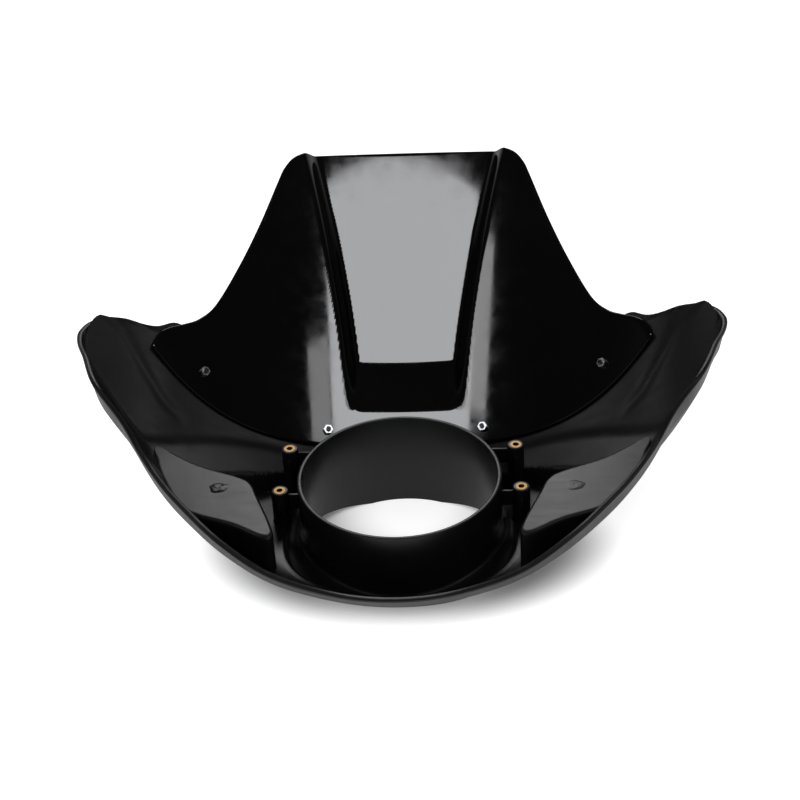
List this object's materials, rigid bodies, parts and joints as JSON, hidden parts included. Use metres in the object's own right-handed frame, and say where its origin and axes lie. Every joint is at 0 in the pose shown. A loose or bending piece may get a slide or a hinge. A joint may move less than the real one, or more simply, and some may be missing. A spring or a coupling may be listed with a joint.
{
  "type": "motorbike headlight cowl",
  "caption": "Gloss black headlight cowl with a headlamp collar, swept wings, flat side pads and a raked dark windscreen held by screws; brass bracket inserts on bosses.",
  "frame": {"origin": "on the axis of the headlamp collar, level with the foremost flat of the nose", "axes": "+Z along the headlamp axis towards the rear of the bike, +Y up on the bike towards the top of the windscreen, +X across; the nose flat stands on Z = 0"},
  "size_m": [0.5332, 0.4657, 0.2101],
  "materials": {
    "shell": "gloss moulded black, satin on the lip",
    "screen": "gloss, very dark tint that looks opaque",
    "screw": "black oxide",
    "nut": "bright zinc",
    "insert": "turned"
  },
  "bodies": {
    "root": {"cowl_shell": "shell", "windscreen": "screen", "screen_screws": "screw", "screen_nuts": "nut", "bracket_inserts": "insert"}
  },
  "joints": []
}
